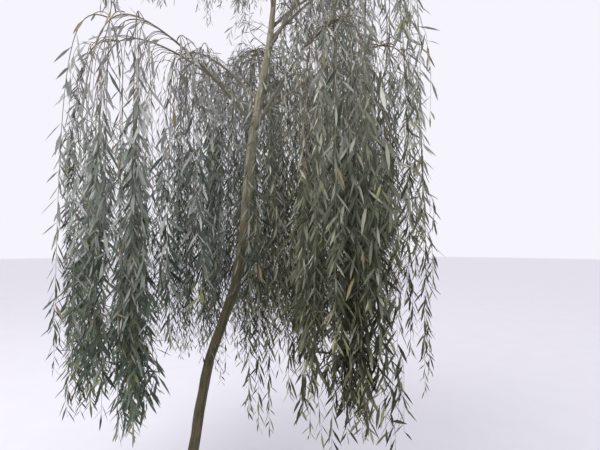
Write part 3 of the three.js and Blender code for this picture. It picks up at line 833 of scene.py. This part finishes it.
def side_shoots(long_shoots, mass, random):
    """Short shoots off the hanging ones, which spread a little and hang down too. In front they keep to the
    lower half, and elsewhere they are all along, more of them further down."""
    made = []
    for long_shoot in long_shoots:
        in_front = long_shoot["in_front"]
        length = np.linalg.norm(np.diff(long_shoot["path"], axis=0), axis=1).sum()
        for _ in range(random.poisson(SIDE_RATE[in_front] * length)):
            if in_front:
                share = 0.97 - 0.45 * random.random()
            else:
                share = 0.15 + 0.75 * random.random() ** 0.6
            root, heading = along_path(long_shoot["path"], share)
            angle = random.uniform(0, 2 * math.pi)
            side = np.array((math.cos(angle), math.sin(angle), 0.0))
            drop = random.uniform(*SIDE_DROP)
            foot = root + side * random.uniform(*SIDE_REACH) + DOWN * drop + heading * (1, 1, 0) * SIDE_ALONG
            path = weeping(root, unit(heading + side), foot, SIDE_ARCH, SIDE_POINTS)
            if fits(mass, path, -STRAY):
                grown = shoot(path, SIDE_RADIUS, random, "shoot", SIDE_LEAVES * long_shoot["leaf"])
                grown["shade"] = long_shoot["shade"]
                made.append(grown)
    return made


def twig_piece(name, shoots):
    """All the given shoots as one mesh, each of them tapering and closed at both ends."""
    points = []
    faces = {3: [], 4: []}
    numbers = {3: [], 4: []}
    first = 0
    for one in shoots:
        path = one["path"]
        headings = headings_along(path)
        one["headings"] = headings
        one["across"], one["beside"] = frames_along(headings, (0.6, 0.8, 0.1))
        count = SHOOT_SIDES if one["radius"] > FINE_RADIUS else FINE_SIDES
        share = np.linspace(0, 1, len(path))[:, None]
        radius = mix(one["radius"], TIP_RADIUS, share) * np.ones((1, count))
        made, sides, ends = tube(path, one["across"], one["beside"], radius)
        number = int(one["shade"] * len(TWIG_SHADES)) % len(TWIG_SHADES)
        for rows in (sides, ends):
            faces[rows.shape[1]].append(rows + first)
            numbers[rows.shape[1]].append(np.full(len(rows), number))
        points.append(made)
        first += len(made)
    rows = [(np.vstack(faces[count]), np.concatenate(numbers[count])) for count in faces if faces[count]]
    return mesh_piece(name, np.vstack(points), rows, TWIG_SHADES)


def plain_material(name, base, roughness, specular):
    """One plain shade. Twigs and leaves take their colours from several of these, dealt out by shoot."""
    material, wire = new_material(name)
    wire.surface({"Base Color": base, "Roughness": roughness, "Specular IOR Level": specular})
    return material


TWIG_SHADES = [
    plain_material("twig_yellow_brown", colour(134, 124, 100), 0.55, 0.35),
    plain_material("twig_olive", colour(108, 104, 84), 0.55, 0.35),
    plain_material("twig_reddish", colour(114, 92, 76), 0.5, 0.4),
    plain_material("twig_grey_brown", colour(102, 95, 80), 0.6, 0.3),
]

LEADER_BEND = 0.13  # the trunk's heading over this much of its tip is the leader's
LEADER_HOST = 0.8  # and shoots grow out of this much of it
masses = []
for bough in boughs:
    host = bough_path(bough, np.linspace(0, 1, 40))
    mass = bough | {"limb": bough["name"], "host": host, "start_point": host[-1]}
    mass["heading"] = unit(host[-1] - host[-2])
    masses.append(mass)
top = trunk_middle(TRUNK_TOP)
leader = LEADER | {"limb": "trunk", "start_point": top}
leader["heading"] = unit(top - trunk_middle(TRUNK_TOP - LEADER_BEND))
leader["host"] = trunk_middle(np.linspace(TRUNK_TOP - LEADER_HOST, TRUNK_TOP, 20))
masses.append(leader)

for mass in masses:
    random = np.random.default_rng(mass["seed"])
    main = first_shoots(mass, random)
    # what fine shoots grow out of, and between which shares of its length
    hosts = [(mass["host"], 0.30, 1.0), (main[0]["path"], 0.01, 0.34)]
    hosts += [(one["path"], 0.05, 0.25) for one in main[1:]]
    long_shoots = main + finer_shoots(mass, hosts, random)
    mass["shoots_made"] = long_shoots + side_shoots(long_shoots, mass, random)
    mass["shoots_made"] += spurs_of(mass, random)
    twigs = twig_piece(f"twigs_{mass['name']}", mass["shoots_made"])
    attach(twigs, "root")
    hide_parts(f"foliage_{mass['name']}")

# Leaves
# Lance-shaped willow leaves on short stalks, one after another round each shoot, folded a little along the
# midrib, drooping and slightly sickle-shaped. They are dusty grey-green, paler underneath, bluish low down
# in the crown and yellow-green on young tips, and each grows out of its shoot's bark. Their shades are also
# painted lighter and hazier high in the crown and darker low down: painted light and shade for the bright
# hazy sky above and the deeper shade below.
LEAF_WIDTH = 0.0138
FRONT_WIDER = 1.15  # the front tails' leaves are this much wider for their length
LEAF_PITCH = 0.024  # along the shoot, from one leaf to the next
LEAF_TURN = 144  # round it
LEAVES_BEGIN = (0.08, 0.26)  # how far from a long shoot's root
SOON_BEGIN = (0.05, 0.14)  # on the first shoots, and on those of the tails in front
# A long shoot's leaves are as close as a short one's only from so far past where they begin. Up to there
# they are further apart: by how many times on a lone shoot, on one whose leaves begin soon, and on others.
THINLY_LEAVED = 0.56
LONE_THIN, SOON_THIN, THIN = 1.2, 3, 2
# Most of the shoots of the fuller tails in front are bare for longer, and thinly leaved over less.
LATE_SHARE = 0.6
LATE_BEGIN = (0.35, 0.75)
LATE_THINLY_LEAVED = 0.2
LEAF_FOLLOWS = 0.8  # how far a leaf follows its shoot, against how far it stands off it and hangs
LEAF_STANDS_OFF = (0.50, 1.35)
LEAF_HANGS = (0.15, 0.80)
LEAF_ROLL = 0.6
LEAF_SIZES = (0.75, 1.15)
TIP_SMALLER = 0.35  # over the last fifth of a shoot its leaves get smaller, in the end by so much
LEAF_BREADTHS = (0.8, 1.12)
LEAF_DROOP = (0.0, 0.16)
LEAF_SICKLE = 0.07
LEAF_SHARES = (0.12, 0.44, 0.76)
LEAF_WIDTHS = (0.30, 1.0, 0.68)
LEAF_FOLD = 0.16
LEAF_POINTS = 2 + 3 * len(LEAF_SHARES)
# The three shades of each group are dealt out by shoot, and the fourth is the leaf's paler underside.
# The groups run from high in the crown to low, on its left and on its right. Their hues are the leaves' own,
# but their lightness is painted light and shade: lighter and hazier high up, most on the left, for the bright
# hazy sky, and darker low down for painted shade.
LEAF_GROUPS = {
    "high_left": [(166, 168, 163), (154, 156, 151), (142, 144, 139), (176, 178, 172)],
    "high_right": [(166, 168, 156), (144, 149, 136), (120, 126, 113), (188, 190, 179)],
    "middle_left": [(144, 150, 140), (116, 124, 113), (88, 98, 86), (168, 173, 164)],
    "middle_right": [(134, 136, 114), (106, 111, 90), (76, 83, 66), (158, 160, 142)],
    "low_left": [(88, 101, 84), (64, 78, 63), (43, 56, 44), (112, 124, 108)],
    "low_right": [(92, 92, 67), (68, 71, 49), (47, 51, 35), (112, 113, 89)],
}
HIGH, MIDDLE, LOW = 0, 2, 4  # the places of the left groups in LEAF_GROUPS
HIGH_FROM = 2.1
MIDDLE_FROM = 1.35
HEIGHTS_BLEND = 0.22
LEFT_OF = 0.36  # the crown's left side, as one faces it, is duller and more bluish than its right, and paler and greyer at the top, which is painted haze of the bright sky
SIDES_BLEND = 0.12
NEXT_SHARE = 0.16  # of the leaves have the shade next to their shoot's
UNDERSIDE_FROM = 0.82  # and the rest of them from here up show their underside
YOUNG_FROM = 0.9  # of the way along a shoot
YOUNG_SHARE = 0.45
TURNING_SHARE = 0.015
LEAF_SHADES = [
    plain_material(f"leaf_{group}_{i + 1}", colour(*shade), 0.68 if i == 3 else 0.58, 0.3)
    for group, shades in LEAF_GROUPS.items() for i, shade in enumerate(shades)
]
YOUNG = len(LEAF_SHADES)
LEAF_SHADES.append(plain_material("leaf_young", colour(138, 140, 98), 0.55, 0.35))
TURNING = len(LEAF_SHADES)
LEAF_SHADES.append(plain_material("leaf_turning", colour(150, 140, 104), 0.6, 0.3))


def leaf_places(one, random):
    """Where the leaves of a shoot are rooted, and which way each points: a direction along the shoot, one
    outward from it, and how far along the shoot it is."""
    path = one["path"]
    lengths = lengths_along(path)
    pitch = LEAF_PITCH * one["leaf"] ** 0.5
    if one["from"] == "shoot":
        where = np.arange(0.03, lengths[-1], pitch)
    else:
        soon = one["soon_leafy"] or one["radius"] >= SHOOT_RADIUS
        first = random.uniform(*(SOON_BEGIN if soon else LEAVES_BEGIN))
        thin = first + THINLY_LEAVED
        if one["in_front"] and random.random() < LATE_SHARE:
            first = random.uniform(*LATE_BEGIN)
            thin = first + LATE_THINLY_LEAVED
        thin = min(thin, lengths[-1])
        sparse = (LONE_THIN if one["lone"] else SOON_THIN if soon else THIN) * pitch
        where = np.concatenate([np.arange(first, thin, sparse), np.arange(thin, lengths[-1], pitch)])
    where = np.append(where + random.uniform(-0.25, 0.25, len(where)) * pitch, lengths[-1] - 0.002)
    where = np.clip(where, 0, lengths[-1] - 1e-4)
    columns = np.hstack([path, one["headings"], one["across"], one["beside"]])
    at = np.stack([np.interp(where, lengths, column) for column in columns.T], axis=1)
    turn = np.radians(LEAF_TURN) * np.arange(len(where)) + random.uniform(-0.5, 0.5, len(where))
    turn = turn + random.uniform(0, 2 * math.pi)
    outward = at[:, 6:9] * np.cos(turn)[:, None] + at[:, 9:12] * np.sin(turn)[:, None]
    return at[:, :3], unit(at[:, 3:6]), unit(outward), where / lengths[-1]


def leaf_blades(root, along, across, length, width, droop, sickle):
    """The points of many leaves at once, from root to tip: the left edge, the midrib and the right edge at
    each of LEAF_SHARES."""
    keel = np.cross(along, across)
    points = np.empty((len(root), LEAF_POINTS, 3))

    def midrib(share):
        bend = (DOWN * droop[:, None] + across * sickle[:, None]) * share**2
        return root + (along * share + bend) * length[:, None]

    points[:, 0] = root
    for k, (share, wide) in enumerate(zip(LEAF_SHARES, LEAF_WIDTHS)):
        middle = midrib(share)
        half = across * (width * wide / 2)[:, None]
        points[:, 1 + 3 * k] = middle - half
        points[:, 2 + 3 * k] = middle - keel * (width * wide * LEAF_FOLD)[:, None]
        points[:, 3 + 3 * k] = middle + half
    points[:, -1] = midrib(1.0)
    return points


def leaf_faces(count):
    """The faces of many leaves: two three-cornered ones at the root, two at the tip, and pairs of
    four-cornered ones between."""
    last = LEAF_POINTS - 1
    ends = [(0, 2, 1), (0, 3, 2), (last - 3, last - 2, last), (last - 2, last - 1, last)]
    sides = []
    for k in range(len(LEAF_SHARES) - 1):
        a = 1 + 3 * k
        sides += [(a, a + 1, a + 4, a + 3), (a + 1, a + 2, a + 5, a + 4)]
    offsets = np.arange(count)[:, None, None] * LEAF_POINTS
    return (np.array(ends) + offsets).reshape(-1, 3), (np.array(sides) + offsets).reshape(-1, 4)


def leaves_of(shoots, random):
    """Every leaf of a mass: its root, its direction, its width direction, its sizes and its shade."""
    gathered = []
    for one in shoots:
        root, heading, outward, share = leaf_places(one, random)
        count = len(root)
        # a leaf on an arch hangs from it, and one on a hanging shoot stands off it at a narrow angle
        off = random.uniform(*LEAF_STANDS_OFF, count)[:, None]
        sag = random.uniform(*LEAF_HANGS, count)[:, None]
        along = unit(heading * LEAF_FOLLOWS + outward * off + DOWN * sag)
        roll = random.normal(0, LEAF_ROLL, count)[:, None]
        across = unit(np.cross(outward, along))
        across = across * np.cos(roll) + np.cross(along, across) * np.sin(roll)
        size = one["leaf"] * random.uniform(*LEAF_SIZES, count)
        size = size * (1 - TIP_SMALLER * np.clip((share - 0.8) / 0.2, 0, 1))
        length = LEAF_LENGTH * size
        width = LEAF_WIDTH * size * random.uniform(*LEAF_BREADTHS, count)
        width = width * (FRONT_WIDER if one["soon_leafy"] else 1.0)
        droop = random.uniform(*LEAF_DROOP, count)
        sickle = random.normal(0, LEAF_SICKLE, count)
        # painted light and shade: the higher a leaf, the lighter and hazier the group it takes, and the
        # lower, the darker
        height = root[:, 2] + random.normal(0, HEIGHTS_BLEND, count)
        group = np.where(height > HIGH_FROM, HIGH, np.where(height > MIDDLE_FROM, MIDDLE, LOW))
        group = group + (root[:, 0] + random.normal(0, SIDES_BLEND, count) > LEFT_OF)
        own = int(one["shade"] * 3) % 3
        stray = random.random(count)
        tone = np.where(stray < NEXT_SHARE, (own + 1) % 3, own)
        tone = np.where(stray > UNDERSIDE_FROM, 3, tone)
        shade = 4 * group + tone
        shade = np.where((share > YOUNG_FROM) & (random.random(count) < YOUNG_SHARE), YOUNG, shade)
        shade = np.where(random.random(count) < TURNING_SHARE, TURNING, shade)
        gathered.append((root, along, across, length, width, droop, sickle, shade))
    return [np.concatenate(parts) for parts in zip(*gathered)]


def leafy_piece(name, shoots, random, mass):
    """All the leaves of the given shoots as one mesh. A leaf that would touch a limb, or leave the space of
    the mass, is left out."""
    root, along, across, length, width, droop, sickle, shade = leaves_of(shoots, random)
    tip = root + along * length[:, None]
    kept = clear_of_limbs(tip, None, 0.002) & clear_of_limbs((root + tip) / 2, None, 0.003)
    if mass:
        kept &= in_space(mass, tip + UP * 0.02, -LEAF_STRAY)
    parts = [part[kept] for part in (root, along, across, length, width, droop, sickle)]
    points = leaf_blades(*parts).reshape(-1, 3)
    ends, sides = leaf_faces(kept.sum())
    shade = shade[kept]
    faces = [(ends, np.repeat(shade, 4)), (sides, np.repeat(shade, 2 * len(LEAF_SHARES) - 2))]
    return mesh_piece(name, points, faces, LEAF_SHADES)


for mass in masses:
    random = np.random.default_rng(mass["seed"] + 1)
    leaves = leafy_piece(f"leaves_{mass['name']}", mass["shoots_made"], random, mass)
    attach(leaves, "root")
    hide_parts(f"foliage_{mass['name']}")

# Small twigs of the trunk
# Thin twigs that grow straight out of the trunk's bark between the boughs and below them: a dead one and a
# short bare one on the right, and this year's, which arch over and hang with leaves of their own. Many of
# them hang in front of the trunk.
# Each: height, azimuth it leaves at, how far out its tip is, how far up, and the radius at its root.
BARE_TWIGS = [
    (1.73, 352, 0.165, -0.004, 0.0023),
    (2.78, 5, 0.112, -0.006, 0.0026),
]
LEAFY_TWIGS = [
    (2.63, 190, 0.105, 0.210, 0.0028), (2.70, 184, 0.230, -0.050, 0.0016),
    (2.74, 172, 0.170, -0.120, 0.0014), (2.52, 166, 0.260, -0.120, 0.0018),
    (2.44, 150, 0.330, -0.200, 0.0018), (2.40, 55, 0.200, -0.350, 0.0018),
    (2.60, 30, 0.180, -0.300, 0.0018), (2.20, 75, 0.240, -0.520, 0.0020),
    (2.08, 40, 0.170, -0.420, 0.0018), (2.02, 120, 0.250, -0.480, 0.0020),
    (1.86, 62, 0.200, -0.450, 0.0018), (1.66, 85, 0.190, -0.380, 0.0017),
    (2.98, 75, 0.170, -0.420, 0.0018), (2.93, 338, 0.170, -0.430, 0.0017),
    (2.88, 20, 0.150, -0.520, 0.0019), (2.82, 312, 0.100, -0.380, 0.0016),
    (2.72, 352, 0.200, -0.560, 0.0019), (2.66, 60, 0.140, -0.460, 0.0018),
    (2.56, 5, 0.150, -0.540, 0.0018), (2.48, 330, 0.110, -0.420, 0.0016),
    (2.36, 20, 0.180, -0.600, 0.0019), (2.28, 350, 0.130, -0.520, 0.0018),
    (2.18, 15, 0.160, -0.560, 0.0018), (2.96, 318, 0.070, -0.300, 0.0016),
    (2.78, 335, 0.090, -0.440, 0.0018), (2.62, 318, 0.060, -0.360, 0.0016),
    (2.54, 345, 0.220, -0.500, 0.0019), (2.44, 8, 0.210, -0.560, 0.0019),
    (2.38, 312, 0.080, -0.380, 0.0016), (2.24, 325, 0.100, -0.400, 0.0016),
    (2.70, 268, 0.050, -0.350, 0.0016), (2.42, 276, 0.055, -0.500, 0.0018),
    (2.20, 262, 0.050, -0.450, 0.0018), (2.05, 290, 0.080, -0.950, 0.0021),
    (1.92, 266, 0.060, -0.620, 0.0019), (1.95, 325, 0.200, -1.150, 0.0021),
    (1.80, 302, 0.130, -1.300, 0.0022), (1.72, 284, 0.090, -1.160, 0.0021),
    (1.70, 338, 0.250, -1.050, 0.0020), (1.60, 318, 0.180, -1.120, 0.0021),
    (1.52, 296, 0.080, -0.960, 0.0020), (1.66, 212, 0.240, -0.800, 0.0019),
    (1.52, 222, 0.200, -0.640, 0.0018), (1.46, 262, 0.090, -0.600, 0.0018),
]
TWIG_LEAVES = ((0.3, 0.9), (0.6, 0.92))  # how far down a twig hangs, and how large its leaves are
TWIG_SETS_IN = 0.5  # a twig's root is this share of the trunk's radius from its middle
LEAFY_CLIMB, LEAFY_ARCH = 0.7, 0.3  # how steeply a leafy twig leaves the trunk, and how high it arches
BARE_CLIMB, BARE_ARCH = 0.1, 0.02
TWIG_SEED = 7

random = np.random.default_rng(TWIG_SEED)
trunk_shoots = []
for height, azimuth, out, up, radius in BARE_TWIGS + LEAFY_TWIGS:
    is_leafy = len(trunk_shoots) >= len(BARE_TWIGS)
    climb, arch = (LEAFY_CLIMB, LEAFY_ARCH) if is_leafy else (BARE_CLIMB, BARE_ARCH)
    outward = np.array((math.cos(math.radians(azimuth)), math.sin(math.radians(azimuth)), 0.0))
    start = trunk_middle(height) + outward * TWIG_SETS_IN * trunk_at(height, 3)
    foot = start + outward * out + UP * up
    path = weeping(start, unit(outward + UP * climb), foot, arch, SHOOT_POINTS)
    grown = shoot(path, radius, random, "shoot", np.interp(-up, *TWIG_LEAVES))
    grown["shade"] = grown["shade"] if is_leafy else 0.0
    trunk_shoots.append(grown)
twigs = twig_piece("twigs_of_trunk", trunk_shoots)
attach(twigs, "root")
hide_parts("trunk")
leaves = leafy_piece("leaves_of_trunk", trunk_shoots[len(BARE_TWIGS):], random, None)
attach(leaves, "root")
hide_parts("trunk")

# Floor, light and camera
# A plain pale floor, a plain pale surround and soft light from all round, a little stronger from above on
# the left, and the camera where a person would stand close in front of the tree.
FLOOR_RADIUS = 40
FLOOR_SIDES = 96
LAMP_SIZE = 5.0
LAMP_WATTS = 200
LAMP_PLACE = (-2.2, -2.4, 6.5)
LAMP_TURN = (math.radians(26), math.radians(-22), 0)
SENSOR_WIDTH = 36  # the camera's sensor and lens are in millimetres
LENS = 27.06
CAMERA_PLACE = (0.653, -2.6, 1.5)
CAMERA_TURN = (math.radians(91.9), 0, 0)

floor_turn = 2 * math.pi * np.arange(FLOOR_SIDES) / FLOOR_SIDES
rim = np.stack([np.cos(floor_turn), np.sin(floor_turn), np.zeros(FLOOR_SIDES)], axis=1) * FLOOR_RADIUS
floor_mesh = bpy.data.meshes.new("floor")
floor_mesh.from_pydata(rim.tolist(), [], [tuple(range(FLOOR_SIDES))])
floor = added("floor", floor_mesh)
floor_material, wire = new_material("pale_floor")
mottle = wire.noise(wire.node("ShaderNodeTexCoord", {}, {}, output=3), 3, 4, 0.5)
pale = wire.mixed(mottle, colour(231, 230, 235), colour(237, 236, 241))
wire.surface({"Base Color": pale, "Roughness": 0.9})
floor_mesh.materials.append(floor_material)

world = bpy.data.worlds.new("pale_surround")
world.use_nodes = True
surround = world.node_tree.nodes["Background"].inputs
surround["Color"].default_value = colour(246, 244, 252)
surround["Strength"].default_value = 1.0
bpy.context.scene.world = world

lamp = bpy.data.lights.new("soft_light", "AREA")
lamp.shape = "DISK"
lamp.size = LAMP_SIZE
lamp.energy = LAMP_WATTS
softbox = added("soft_light", lamp)
softbox.location = LAMP_PLACE
softbox.rotation_euler = Euler(LAMP_TURN)

camera_data = bpy.data.cameras.new("camera")
camera_data.sensor_width = SENSOR_WIDTH
camera_data.lens = LENS
camera = added("camera", camera_data)
camera.location = CAMERA_PLACE
camera.rotation_euler = Euler(CAMERA_TURN)
bpy.context.scene.camera = camera
bpy.context.scene.view_settings.view_transform = "Standard"
